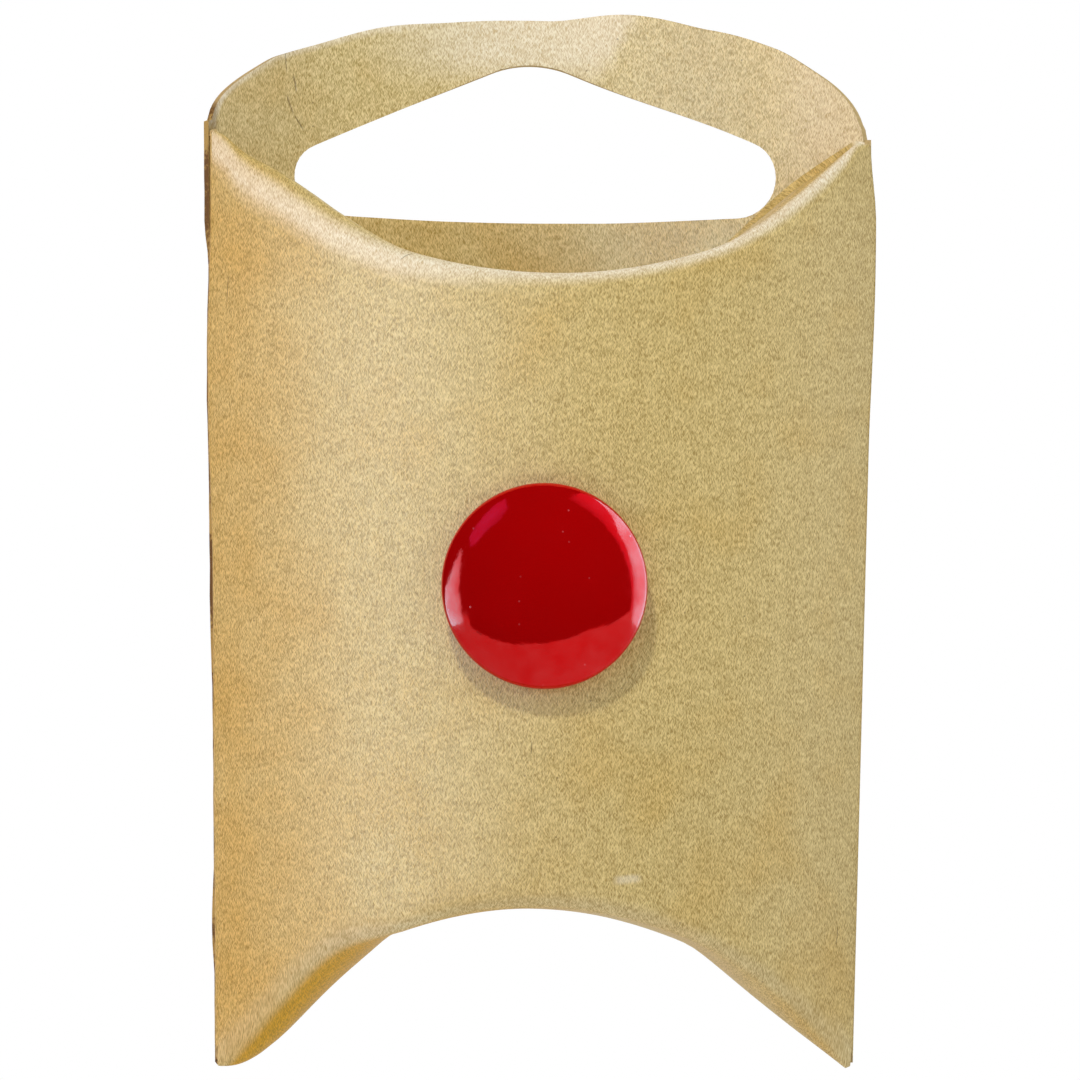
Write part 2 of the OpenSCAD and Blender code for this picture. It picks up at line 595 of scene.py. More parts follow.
        # Darkened by dirt at the seam, and by painted shade in the creases and on shaded parts
        soil_and_shade = self.soil_and_shade_strength * bench.larger(bench.attribute(SOIL_AND_SHADE), creases)
        rubbing = self.rubbed_roughness * bench.attribute(WEAR_AND_HIGHLIGHT)
        return bench.surface(
            {
                "Base Color": bench.mix(soil_and_shade, board, self.soil_and_shade_colour),
                "Roughness": self.roughness - self.strand_sheen * strands + rubbing,
                "Specular IOR Level": self.specular,
                "Normal": bench.bump(strands + self.hair_height * hairs - creases, self.relief),
            }
        )


@dataclass(frozen=True)
class RawEdge:
    """Cut edge of the board, with the plies drawn along it; the seam's edge is dirty, and other edges take
    painted shade where the board beside them does.
    """

    name: str = "kraft_raw_edge"
    dark: Colour = (0.38, 0.26, 0.09)
    light: Colour = (0.70, 0.54, 0.28)
    soil_and_shade_colour: Colour = (0.15, 0.07, 0.012)
    faded: Colour = (0.44, 0.30, 0.09)
    plies: Grain = Grain(4.0, 3.0)
    ply_contrast: float = 0.9
    ply_roughness: float = 0.2
    stains: Grain = Grain(0.35)
    stain_fray: float = 0.5
    stain_range: tuple[float, float] = (0.42, 0.62)
    roughness: float = 0.8
    specular: float = 0.25
    relief: float = 0.03

    def material(self) -> bpy.types.Material:
        """Wires the edge.

        Returns:
            The finished material.
        """
        bench = Bench.material(self.name)
        place = bench.solid()
        plies = bench.noise(place, self.plies)
        uneven = plies - NOISE_MIDDLE
        stains = bench.noise(place, self.stains) + self.stain_fray * uneven
        clean = bench.mix(NOISE_MIDDLE + self.ply_contrast * uneven, self.dark, self.light)
        # The same attribute gives dirt at the seam and painted shade on other edges
        soil_and_shade_edge = bench.mix(bench.ease(stains, *self.stain_range), self.soil_and_shade_colour, self.faded)
        return bench.surface(
            {
                "Base Color": bench.mix(bench.attribute(SOIL_AND_SHADE), clean, soil_and_shade_edge),
                "Roughness": self.roughness + self.ply_roughness * uneven,
                "Specular IOR Level": self.specular,
                "Normal": bench.bump(plies, self.relief),
            }
        )


@dataclass(frozen=True)
class RedGloss:
    """Polished red button plastic with dust specks and faint rubbed patches."""

    name: str = "red_gloss"
    deep: Colour = (0.66, 0.0007, 0.001)
    bright: Colour = (0.74, 0.001, 0.003)
    cloud: Grain = Grain(0.22)
    metallic: float = 0.47
    specular: float = 0.2
    roughness: float = 0.07
    rubs: Grain = Grain(0.4, 4.0)
    rub_range: tuple[float, float] = (0.52, 0.72)
    rubbed_roughness: float = 0.09
    dust: Colour = (0.90, 0.16, 0.18)
    dust_specks: Scatter = Scatter(0.65, 0.3, 0.055)
    dusty_range: tuple[float, float] = (0.35, 0.62)
    dust_strength: float = 0.5
    dust_roughness: float = 0.2
    dust_height: float = 0.7
    coat: float = 0.16
    coat_grain: Grain = Grain(0.7, 5.0)
    coat_contrast: float = 0.9
    coat_roughness: float = 0.04
    ripple: Grain = Grain(1.1, 4.0)
    relief: float = 0.013

    def material(self) -> bpy.types.Material:
        """Wires the gloss.

        Returns:
            The finished material.
        """
        bench = Bench.material(self.name)
        place = bench.solid()
        cloud = bench.noise(place, self.cloud)
        rubbed = bench.ease(bench.noise(place, self.rubs), *self.rub_range)
        quarter_turn = (-math.pi / 2, 0.0, 0.0)
        face_on = bench.add("ShaderNodeMapping", {}, {"Vector": place, "Rotation": quarter_turn})
        dust = bench.specks(face_on, self.dust_specks) * bench.ease(cloud, *self.dusty_range)
        red = bench.mix(cloud, self.deep, self.bright)
        uneven = bench.noise(place, self.coat_grain) - NOISE_MIDDLE
        relief = bench.noise(place, self.ripple) + self.dust_height * dust
        return bench.surface(
            {
                "Base Color": bench.mix(self.dust_strength * dust, red, self.dust),
                "Metallic": self.metallic,
                "Roughness": self.roughness + self.rubbed_roughness * rubbed + self.dust_roughness * dust,
                "Specular IOR Level": self.specular,
                "Coat Weight": self.coat + self.coat_contrast * uneven,
                "Coat Roughness": self.coat_roughness,
                "Normal": bench.bump(relief, self.relief),
            }
        )


@dataclass(frozen=True)
class PinNylon:
    """Milky nylon of the pin that holds the button."""

    name: str = "pin_nylon"
    shade: Colour = (0.72, 0.69, 0.61)
    light: Colour = (0.86, 0.84, 0.78)
    cloud: Grain = Grain(0.6, 3.0)
    scuffs: Lay = Lay(0.0, 0.17, 0.17)
    roughness: float = 0.42
    scuff_roughness: float = 0.2
    milkiness: float = 0.15
    milk_depth: tuple[float, float, float] = (0.002, 0.0018, 0.0015)
    relief: float = 0.01

    def material(self) -> bpy.types.Material:
        """Wires the nylon.

        Returns:
            The finished material.
        """
        bench = Bench.material(self.name)
        place = bench.solid()
        scuffs = bench.noise(bench.stretched(place, self.scuffs), Grain())
        return bench.surface(
            {
                "Base Color": bench.mix(bench.noise(place, self.cloud), self.shade, self.light),
                "Roughness": self.roughness + self.scuff_roughness * scuffs,
                "Subsurface Weight": self.milkiness,
                "Subsurface Radius": self.milk_depth,
                "Normal": bench.bump(scuffs, self.relief),
            }
        )


# The folded pack


@dataclass(frozen=True)
class Arc:
    """A round stretch of the plan; angles turn from -Y towards +X."""

    centre: tuple[float, float]
    radius: float
    start: float
    length: float

    def at(self, run: float) -> tuple[float, float]:
        """Place after a run along the arc.

        Args:
            run: Length from the start of the arc.

        Returns:
            X and Y in plan.
        """
        angle = self.start + run / self.radius
        x, y = self.centre
        return x + self.radius * math.sin(angle), y - self.radius * math.cos(angle)


@dataclass
class PillowPack:
    """Pack folded from one blank: two bulged panels, curved ends, flaps, and a tab to hang it by."""

    half_width: float
    bulge: float
    fold_y: float
    tab_top: float

    # Board and folds
    board: float = 0.45
    height: float = 64.0
    fold_flat: float = 0.6
    side_fold: float = 0.7
    seam_fold: float = 0.5
    glue_w: float = 7.0
    glue_gap: float = 0.03
    crease_r: float = 1.3
    crease_share: float = 0.55
    slit: float = 0.25
    outer_flap_share: float = 0.9
    least_flap: float = 0.05
    rim_bevel: float = 0.06

    # Tab and punched holes
    tab_rise: float = 10.0
    tab_relief: float = 0.3
    tab_end: float = 1.0
    shoulder: float = 5.0
    hole_h: float = 11.4
    hole_r: float = 2.55
    hole_crown_r: float = 6.5
    hole_side: float = 5.9
    shank_hole_r: float = 2.0
    shank_z: float = -38.5

    # Ruling of the blank
    crowding: float = 0.55
    turn_rows: float = 1.0 / 3.0
    margin_side: float = 4.0
    margin_low: float = 12.0

    # The set of this one pack
    taper: tuple[float, float] = (0.976, 1.032)
    low_strays: tuple[Hump, ...] = (Hump(1.15, -14.5, 5.0), Hump(-0.45, -21.0, 2.6), Hump(0.27, 0.0, 13.0))
    high_strays: tuple[Hump, ...] = (
        Hump(1.5, -22.2, 6.5),
        Hump(-0.5, -22.7, 1.4),
        Hump(0.62, -15.5, 6.0),
        Hump(0.45, -17.2, 3.2),
        Hump(1.45, 22.2, 8.0),
        Hump(-1.0, 22.9, 1.5),
        Hump(0.25, 15.5, 4.0),
    )
    seam_dip: Ramp = Ramp(0.0, 1.2, 0.9)
    flank_sags: tuple[Hump, ...] = (Hump(3.5, -16.9, 6.8, 1.2), Hump(1.75, 18.3, 7.5, 1.2))
    sag_limit: float = 1.45
    tuck: Ramp = Ramp(0.5, 2.2)
    top_bows: tuple[Hump, ...] = (Hump(-0.5, 0.0, 12.0), Hump(0.9, -15.0, 6.0), Hump(1.2, 16.5, 6.0))
    lips: tuple[Hump, ...] = (Hump(0.22, -38.0, 10.0), Hump(0.22, -61.5, 4.0))
    top_lip: Ramp = Ramp(-9.0, -6.0, 0.5)
    lip_fray: Ripple = Ripple(0.05, 2.0, (0.0, 7.0, 0.0))
    lip_power: int = 40
    tab_rises: tuple[Hump, ...] = (
        Hump(0.75, 6.8, 5.5),
        Hump(0.24, 13.0, 5.5),
        Hump(-1.0, 22.0, 5.5),
        Hump(0.22, -10.5, 5.0),
        Hump(-0.6, -21.0, 3.2),
    )
    tab_bends: tuple[Hump, ...] = (Hump(0.62, 15.0, 11.0),)
    tab_bend_rise: Ramp = Ramp(-7.5, 0.0)
    tab_leans: tuple[Hump, ...] = (Hump(0.9, -0.5, 10.0),)
    tab_lean_rise: Ramp = Ramp(-4.0, 4.5)
    tab_shift: Ramp = Ramp(-9.0, -4.0, -0.45)
    front_lean: Ramp = Ramp(0.5, 1.0, 0.5)
    corner_pull: Ramp = Ramp(-5.5, 0.0, 0.4)
    left_bows: tuple[Hump, ...] = (Hump(0.27, -24.0, 13.0),)
    right_bows: tuple[Hump, ...] = (Hump(0.16, -17.0, 11.0),)
    side_power: int = 3
    waves: tuple[Ripple, ...] = (Ripple(0.14, 13.0), Ripple(0.05, 5.0, (3.0, 1.0, 4.0)))
    wave_lift: float = 0.5

    arcs: dict[Strip, tuple[float, Arc]] = field(default_factory=dict)

    @classmethod
    def from_frame(cls) -> PillowPack:
        """Takes the pack's main sizes and place from its CAD solid."""
        low, high = (Vector(corner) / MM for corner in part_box("pillow_pack"))
        return cls(high.x, (high.y - low.y) / 2, (high.y + low.y) / 2, high.z)

    def __post_init__(self) -> None:
        """Works out the plan: five arcs, run from the glue strip round to the back panel."""
        rise = self.bulge - self.fold_flat / 2
        panel_r = (self.half_width**2 + rise**2) / (2 * rise)
        arc_y = panel_r - self.bulge
        self.top_z = self.tab_top - self.tab_rise
        self.bottom_z = self.top_z - self.height
        reach = panel_r - self.side_fold
        right_x = math.sqrt(reach**2 - arc_y**2)
        right_turn = math.asin(right_x / reach)
        front_reach = panel_r - self.seam_fold
        glue_r = panel_r - self.board - self.glue_gap
        glue_reach = glue_r - self.seam_fold
        left_y = (glue_reach**2 - front_reach**2) / (4 * arc_y)
        left_x = -math.sqrt(front_reach**2 - (left_y - arc_y) ** 2)
        left_turn = math.asin(left_x / front_reach)
        glue_turn = -math.pi - math.asin(left_x / glue_reach)
        left_length = self.seam_fold * (left_turn - glue_turn)
        right_length = self.side_fold * (math.pi - 2 * right_turn)
        front_length = panel_r * (right_turn - left_turn)
        back_length = 2 * panel_r * right_turn
        plan = {
            Strip.GLUE: Arc((0.0, -arc_y), glue_r, glue_turn - self.glue_w / glue_r, self.glue_w),
            Strip.LEFT_FOLD: Arc((left_x, left_y), self.seam_fold, glue_turn, left_length),
            Strip.FRONT: Arc((0.0, arc_y), panel_r, left_turn, front_length),
            Strip.RIGHT_FOLD: Arc((right_x, 0.0), self.side_fold, right_turn, right_length),
            Strip.BACK: Arc((0.0, -arc_y), panel_r, math.pi - right_turn, back_length),
        }
        self.blank_w = 0.0
        for strip, arc in plan.items():
            self.arcs[strip] = (self.blank_w, arc)
            self.blank_w += arc.length
        self.margin = Vector((self.margin_side, self.margin_low - self.bottom_z + self.bulge))

    def strip_at(self, u: float) -> Strip:
        """Strip of the blank at a distance from its left edge; a shared edge goes to a panel.

        Args:
            u: Distance from the left edge of the blank.

        Returns:
            The strip.
        """
        for strip in (Strip.FRONT, Strip.BACK, Strip.LEFT_FOLD, Strip.RIGHT_FOLD):
            start, arc = self.arcs[strip]
            past = math.inf if strip is Strip.BACK else start + arc.length + TINY
            if start - TINY <= u <= past:
                return strip
        return Strip.GLUE

    def panel_u(self, strip: Strip, x: float) -> float:
        """Distance along the blank of a place across a panel.

        Args:
            strip: The front or the back panel.
            x: Place across it, from the middle.

        Returns:
            The distance from the left edge of the blank.
        """
        start, arc = self.arcs[strip]
        turn = math.asin(x / arc.radius)
        return start + arc.radius * ((math.pi - turn if strip is Strip.BACK else turn) - arc.start)

    def plan_at(self, u: float) -> tuple[float, float]:
        """Place in plan at a distance along the blank, about the plane of the side folds."""
        start, arc = self.arcs[self.strip_at(u)]
        return arc.at(u - start)

    def crease_radius(self, depth: float) -> float:
        """Radius of the turn at an end fold, which tightens towards the corners."""
        return min(self.crease_r, self.crease_share * depth)

    def low_fold(self, u: float) -> float:
        """Height at which the bottom fold starts to turn."""
        x, y = self.plan_at(u)
        return self.bottom_z + abs(y) + total(self.low_strays, x) + self.crease_radius(abs(y))

    def high_fold(self, u: float) -> float:
        """Height at which the top fold starts to turn; its strays end within the right fold.

        Args:
            u: Distance from the left edge of the blank.

        Returns:
            The height on the blank.
        """
        x, y = self.plan_at(u)
        (start, front), (_, fold) = self.arcs[Strip.FRONT], self.arcs[Strip.RIGHT_FOLD]
        stray = total(self.high_strays, x) * Ramp(fold.length, 0.0).at(u - start - front.length)
        return self.top_z - abs(y) + stray - self.crease_radius(abs(y)) - self.seam_dip.at(start - u)

    def tab_edge(self, x: float) -> float:
        """Height of the tab's outline: a flat crown arc between two round shoulders.

        Args:
            x: Place across the tab, from the middle.

        Returns:
            The height on the blank.
        """
        half = self.half_width - self.tab_relief
        arch_h = self.tab_rise - self.tab_end
        shoulder_x = half - self.shoulder
        crown_r = (shoulder_x**2 + arch_h**2 - self.shoulder**2) / (2 * (arch_h - self.shoulder))
        meet_x = crown_r * shoulder_x / (crown_r - self.shoulder)
        base = self.top_z + self.tab_end
        if abs(x) > half:
            return base if x < 0 else base - self.tab_end * min(1.0, (x - half) / (self.tab_relief / 2))
        if abs(x) > meet_x:
            rise = math.sqrt(max(0.0, self.shoulder**2 - (abs(x) - shoulder_x) ** 2))
        else:
            rise = arch_h - crown_r + math.sqrt(crown_r**2 - x**2)
        return base + max(0.0, rise + total(self.tab_rises, x))

    def flap_length(self, depth: float, share: float, slack: float) -> float:
        """Length of a flap past the start of its fold, measured on the blank."""
        turn = self.crease_radius(depth)
        return max(self.least_flap, 2 * depth * share - slack - turn) + turn * math.pi / 2

    def band_edges(self, u: float) -> tuple[float, float, float, float]:
        """Heights on the blank that bound its bands.

        Args:
            u: Distance from the left edge of the blank.

        Returns:
            The lower free edge, the bottom fold, the top fold and the upper free edge.
        """
        strip = self.strip_at(u)
        x, y = self.plan_at(u)
        low, high = self.low_fold(u), self.high_fold(u)
        inner_flap = self.flap_length(abs(y), 1.0, self.board + self.slit)
        below, above = 0.0, 0.0
        if strip is Strip.FRONT:
            below, above = self.flap_length(abs(y), self.outer_flap_share, 0.0), inner_flap
        elif strip is Strip.BACK:
            below, above = inner_flap, self.tab_edge(x) - high
        return low - below, low, high, high + above

    def ruled_u(self, column: float) -> float:
        """Distance along the blank of a grid column; panels are ruled closer near their folds.

        Args:
            column: Number of the column, from the left.

        Returns:
            The distance from the left edge.
        """
        passed = 0
        for strip, count in COLUMNS.items():
            if column <= passed + count or strip is Strip.BACK:
                break
            passed += count
        share = (column - passed) / count
        if strip in (Strip.FRONT, Strip.BACK):
            share -= self.crowding * math.sin(2 * math.pi * share) / (2 * math.pi)
        start, arc = self.arcs[strip]
        return start + share * arc.length

    def ruled_v(self, row: float, u: float) -> float:
        """Height on the blank of a grid row at a distance along it.

        Args:
            row: Number of the row, from the bottom.
            u: Distance from the left edge of the blank.

        Returns:
            The height on the blank.
        """
        low_edge, low, high, high_edge = self.band_edges(u)
        above_flap = row - ROWS[Band.LOW]
        above_panel = above_flap - ROWS[Band.PANEL]
        if above_flap < 0:
            share = self.flap_share(-above_flap / ROWS[Band.LOW], u, low - low_edge)
            return low + (low_edge - low) * share
        if above_panel <= 0:
            return low + (high - low) * above_flap / ROWS[Band.PANEL]
        share = above_panel / ROWS[Band.HIGH]
        if self.strip_at(u) is Strip.FRONT:
            share = self.flap_share(share, u, high_edge - high)
        return high + (high_edge - high) * share

    def flap_share(self, share: float, u: float, length: float) -> float:
        """Sets a share of a flap's rows in the turn of its fold.

        Args:
            share: Share of the flap's rows, from the fold.
            u: Distance from the left edge of the blank.
            length: Length of the flap there.

        Returns:
            The share of the flap's length.
        """
        if length <= 0.0:
            return share
        turn = self.crease_radius(abs(self.plan_at(u)[1])) * math.pi / 2 / length
        if share < self.turn_rows:
            return turn * share / self.turn_rows
        return turn + (1.0 - turn) * (share - self.turn_rows) / (1.0 - self.turn_rows)

    def lip(self, v: float) -> float:
        """Length by which the raw edge stands past the left fold, at a height on the blank."""
        fray = self.lip_fray.at(Vector((0.0, 0.0, v)))
        return self.top_lip.at(v - self.top_z) + total(self.lips, v) + fray

    def hole_outline(self) -> list[Vector]:
        """Outline of the hang hole on the blank: a low roof with round corners.

        Returns:
            Its corners, in order.
        """
        half = self.half_width - self.hole_side - self.hole_r
        low_z = self.hole_r - self.hole_h
        slant = Vector((half, low_z + self.hole_crown_r))
        roof = math.asin((self.hole_crown_r - self.hole_r) / slant.length) - math.atan2(slant.y, slant.x)
        corners = (
            (half, low_z, self.hole_r, math.pi, roof),
            (0.0, -self.hole_crown_r, self.hole_crown_r, roof, -roof),
            (-half, low_z, self.hole_r, -roof, -math.pi),
        )
        steps = 14
        points = []
        for x, z, radius, first, last in corners:
            for step in range(steps + 1):
                angle = first + (last - first) * step / steps
                points.append((x + radius * math.sin(angle), z + radius * math.cos(angle)))
        return [Vector((self.panel_u(Strip.BACK, x), z, 0.0)) for x, z in points]

    def shank_outline(self) -> list[Vector]:
        """Outline of the punched hole for the button's shank, on the blank.

        Returns:
            Its corners, in order.
        """
        middle = Vector((self.panel_u(Strip.FRONT, 0.0), self.shank_z, 0.0))
        steps = 16
        turns = (2 * math.pi * step / steps for step in range(steps))
        return [middle + self.shank_hole_r * Vector((math.sin(turn), math.cos(turn), 0.0)) for turn in turns]

    @staticmethod
    def turned(run: float, radius: float) -> tuple[float, float]:
        """Distance back and rise after a run past the start of a right-angled turn.

        Args:
            run: Length past the start of the turn.
            radius: Radius of the turn.

        Returns:
            The distance back, and the rise along the panel.
        """
        angle = min(run / radius, math.pi / 2)
        straight = max(0.0, run - radius * math.pi / 2)
        return radius * (1.0 - math.cos(angle)) + straight, radius * math.sin(angle)

    def folded(self, u: float, v: float) -> Vector:
        """Turns a place on the flat blank into its place on the folded pack.

        Args:
            u: Distance from the left edge of the blank.
            v: Height on the blank.

        Returns:
            The place in the pack's frame, before the board settles.
        """
        strip = self.strip_at(u)
        x, y = self.plan_at(u)
        depth = abs(y)
        turn = self.crease_radius(depth)
        low, high = self.low_fold(u), self.high_fold(u)
        if strip is Strip.FRONT and v > high:
            back, up = self.turned(v - high, turn)
            rise = total(self.top_bows, x) * arch(back / (2 * depth))
            return Vector((x, y + back, high + up + rise))
        if strip in (Strip.FRONT, Strip.BACK) and v < low:
            back, down = self.turned(low - v, turn)
            sag = min(total(self.flank_sags, x), self.sag_limit * depth) * arch(back / (2 * depth))
            if strip is Strip.FRONT:
                return Vector((x, y + back, low - down - self.glue_gap - sag))
            return Vector((x, y - back, low - down + self.board * self.tuck.at(back) - sag))
        return Vector((x, y, v))

    def settled(self, place: Vector) -> Vector:
        """Lets the folded board take its own set: taper, bows, lean and slight waves.

        Args:
            place: Place on the evenly folded pack.

        Returns:
            The place on this one pack.
        """
        share = (place.z - self.bottom_z) / self.height
        above = place.z - self.top_z
        side = place.x / self.half_width
        inner = max(0.0, 1.0 - side**2)
        right, left = (max(0.0, near) ** self.side_power for near in (side, -side))
        low_width, high_width = self.taper
        x = place.x * (low_width + (high_width - low_width) * share)
        x += (total(self.right_bows, place.z) - self.corner_pull.at(above)) * right
        x -= total(self.left_bows, place.z) * left
        wave = total(self.waves, place) * inner
        y, z = place.y + wave, place.z + self.wave_lift * wave
        if place.y < 0.0:
            x += self.front_lean.at(share) * inner
        else:
            x += self.tab_shift.at(above) * inner
            y += total(self.tab_leans, place.x) * self.tab_lean_rise.at(place.z)
            z += total(self.tab_bends, place.x) * self.tab_bend_rise.at(above)
        return Vector((x, y, z))

    @staticmethod
    def trim(mesh: bmesh.types.BMesh) -> None:
        """Cuts the ruled sheet away beyond the folds and the glue strip, which have no flaps.

        Args:
            mesh: The ruled sheet, with a column or a row to each unit.
        """
        glue_end = COLUMNS[Strip.GLUE] + COLUMNS[Strip.LEFT_FOLD]
        right = glue_end + COLUMNS[Strip.FRONT]
        gaps = ((0, glue_end), (right, right + COLUMNS[Strip.RIGHT_FOLD]))
        low = ROWS[Band.LOW]
        high = low + ROWS[Band.PANEL]
        spare = []
        for face in mesh.faces:
            centre = face.calc_center_median()
            if not low < centre.y < high and any(first < centre.x < last for first, last in gaps):
                spare.append(face)
        bmesh.ops.delete(mesh, geom=spare, context="FACES")

    def blank(self) -> bmesh.types.BMesh:
        """Rules and punches the flat blank.

        Returns:
            A flat mesh with the distance along the blank in X and the height on it in Y.
        """
        columns, rows = sum(COLUMNS.values()), sum(ROWS.values())
        half = 0.5
        mesh = bmesh.new()
        bmesh.ops.create_grid(mesh, x_segments=columns, y_segments=rows, size=half)
        place = Matrix.Diagonal((columns, rows, 1.0, 1.0)) @ Matrix.Translation((half, half, 0.0))
        bmesh.ops.transform(mesh, matrix=place, verts=mesh.verts)
        self.trim(mesh)
        back_start, _ = self.arcs[Strip.BACK]
        for vert in mesh.verts:
            u = self.ruled_u(vert.co.x)
            v = self.ruled_v(vert.co.y, u)
            share = max(0.0, (u - back_start) / (self.blank_w - back_start))
            vert.co = (u + self.lip(v) * share**self.lip_power, v, 0.0)
        for outline in (self.hole_outline(), self.shank_outline()):
            punch(mesh, outline, Z_AXIS)
        return mesh

    def thicken(self, piece: bpy.types.Object) -> None:
        """Gives the folded sheet its thickness, a face inside and raw edges.

        Args:
            piece: The folded sheet.
        """
        wall = piece.modifiers.new("board", "SOLIDIFY")
        wall.thickness = self.board * MM
        wall.offset = -1.0
        wall.use_even_offset = True
        wall.material_offset = 1
        wall.material_offset_rim = 2
        rim = piece.modifiers.new("cut_edges", "BEVEL")
        rim.width = self.rim_bevel * MM
        rim.segments = 1
        rim.limit_method = "ANGLE"
        rim.angle_limit = SHARP
        rim.harden_normals = True

    def build(self) -> bpy.types.Object:
        """Folds the blank and dresses it.

        Returns:
            The finished pack.
        """
        mesh = self.blank()
        handling_and_light = HandlingAndPaintedLight(self)
        handling_and_light.mark(mesh)
        for vert in mesh.verts:
            place = self.settled(self.folded(*vert.co.xy))
            vert.co = (place + Vector((0.0, self.fold_y, 0.0))) * MM
        piece = make_piece(mesh, "folded_pack", handling_and_light.materials())
        self.thicken(piece)
        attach(piece, "root")
        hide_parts("pillow_pack")
        return piece


@dataclass(frozen=True)
class HandlingAndPaintedLight:
    """Marks on the pack: parts rubbed pale, painted highlights, painted warm light and shade, seam dirt,
    painted shade, darker parts, and creases darkened with painted shade.
    """

    pack: PillowPack

    # Rubbed pale along the folds and the tab's rim; painted highlights along the folds, on the tab's top and
    # on its far right
    low_wear_and_highlight: float = 0.16
    low_wear_and_highlight_left: Hump = Hump(0.22, -12.5, 7.0)
    low_wear_and_highlight_reach: Ramp = Ramp(1.3, 0.1)
    ridge_wear_and_highlight: float = 0.88
    ridge_core: float = 0.1
    ridge_drop: float = 0.7
    ridge_climb: Ramp = Ramp(-20.0, -1.0, 2.05)
    ridge_spread: float = 1.8
    ridge_narrowing: Ramp = Ramp(-12.0, 8.0, 0.6)
    # Painted highlight: a pale facet at the top middle of the tab, where it catches the light
    facet_left: Ramp = Ramp(-14.0, -2.0)
    facet_right: Ramp = Ramp(0.9, -0.2)
    facet_foot: float = 5.0
    facet_slope: float = 0.56
    facet_rise: Ramp = Ramp(-2.5, 1.0, 0.78)
    rim_wear: Ramp = Ramp(-0.5, -0.05, 0.8)
    rim_reach: Ramp = Ramp(-4.0, -8.0)
    # Painted highlight on the tab's far right, which faces the light
    far_painted_highlight: Ramp = Ramp(15.0, 20.0, 0.5)
    far_painted_highlight_rise: Ramp = Ramp(-14.0, -6.0)

    # Painted warm shade under the flaps, behind the top crest, low on the front and on the back; painted
    # warm light along the front's left side
    flap_painted_warm_shade: Ramp = Ramp(0.9, 2.2)
    flap_shade_fading: Ramp = Ramp(-4.0, 6.0, 0.7)
    left_painted_warm_light: Ramp = Ramp(-8.0, -22.0, 0.24)
    low_painted_warm_shade: Ramp = Ramp(-40.0, -64.0, 0.1)
    top_flap_painted_warm_shade: Ramp = Ramp(1.5, 3.0, 0.18)
    back_painted_warm_shade: Ramp = Ramp(2.0, -4.0, 0.2)

    # Dirt on the seam's raw edge; painted shade low on the front, on the back below the hole and on the left
    # of the back; the tab's right made darker
    # Painted shade: the lower front, from its middle rightwards, is made darker
    low_painted_shade: Ramp = Ramp(-32.0, -60.0, 0.09)
    low_painted_shade_reach: Ramp = Ramp(-14.0, -2.0)
    seam_soil: Ramp = Ramp(-0.6, -0.2)
    # Painted shade on the back panel below the hole, inside the pack's mouth
    under_hole_painted_shade: Ramp = Ramp(1.0, -1.0, 0.2)
    # Painted shade on the left of the back panel and its tab, which face away from the light
    tab_left_painted_shade: Ramp = Ramp(-12.0, -18.0, 0.16)
    # The right half of the back panel and its tab is made a little darker
    tab_right_darkening: Hump = Hump(0.16, 11.5, 6.0)

    # Creases, drawn dark as painted shade in them, and a pale fleck
    tab_creases: tuple[Streak, ...] = (
        Streak((-16.9, -1.5), (-16.6, -3.1), 0.07),
        Streak((-17.4, -2.9), (-16.8, -4.7), 0.09),
        Streak((-16.9, -4.4), (-16.0, -5.7), 0.07),
        Streak((-17.5, 1.0), (-17.3, -1.8), 0.05),
    )
    front_creases: tuple[Streak, ...] = (
        Streak((21.25, -61.0), (21.15, -63.0), 0.055),
        Streak((-21.2, -16.6), (-21.3, -18.6), 0.04),
        Streak((-9.0, -15.3), (-10.2, -16.3), 0.03),
        Streak((-0.7, -48.9), (-0.8, -50.0), 0.04),
    )
    front_flecks: tuple[Streak, ...] = (Streak((4.8, -58.35), (7.1, -58.15), 0.42),)

    def wear_and_highlight_at(self, u: float, v: float) -> float:
        """How far a place on the blank is made pale: rubbed along the folds and the tab's rim, with painted
        highlights along the folds, on the tab's top and on its far right.

        Args:
            u: Distance from the left edge of the blank.
            v: Height on the blank.

        Returns:
            A share of the pale colours of wear and painted highlight.
        """
        pack = self.pack
        strip = pack.strip_at(u)
        if strip not in (Strip.FRONT, Strip.BACK):
            return 0.0
        x, y = pack.plan_at(u)
        turn = pack.crease_radius(abs(y)) * math.pi / 4
        # Pale along the bottom fold: wear and a painted highlight
        low = self.low_wear_and_highlight_reach.at(abs(v - pack.low_fold(u) + turn))
        low *= self.low_wear_and_highlight + self.low_wear_and_highlight_left.at(x)
        if strip is Strip.FRONT:
            # Pale band along the top fold's ridge: wear and a painted highlight
            off_ridge = v - pack.high_fold(u) + self.ridge_drop - self.ridge_climb.at(x)
            spread = self.ridge_spread - self.ridge_narrowing.at(x)
            return max(low, Ramp(spread, self.ridge_core, self.ridge_wear_and_highlight).at(abs(off_ridge)))
        # Painted highlight on a facet at the top of the tab
        off_facet = x - self.facet_foot - self.facet_slope * v
        facet = self.facet_left.at(x) * self.facet_right.at(off_facet) * self.facet_rise.at(v)
        rim = self.rim_wear.at(v - pack.tab_edge(x)) * self.rim_reach.at(x)
        return max(low, facet, rim, self.far_painted_highlight.at(x) * self.far_painted_highlight_rise.at(v))

    def painted_warmth_at(self, u: float, v: float) -> float:
        """How far a place on the blank takes the warm colours: painted warm shade under the flaps, behind
        the top crest, low on the front and on the back, and painted warm light along the front's left side.

        Args:
            u: Distance from the left edge of the blank.
            v: Height on the blank.

        Returns:
            A share of the warm colours.
        """
        pack = self.pack
        x, _ = pack.plan_at(u)
        # Painted warm shade under the bottom flaps
        flap = self.flap_painted_warm_shade.at(pack.low_fold(u) - v) * (1.0 - self.flap_shade_fading.at(x))
        if pack.strip_at(u) is Strip.FRONT:
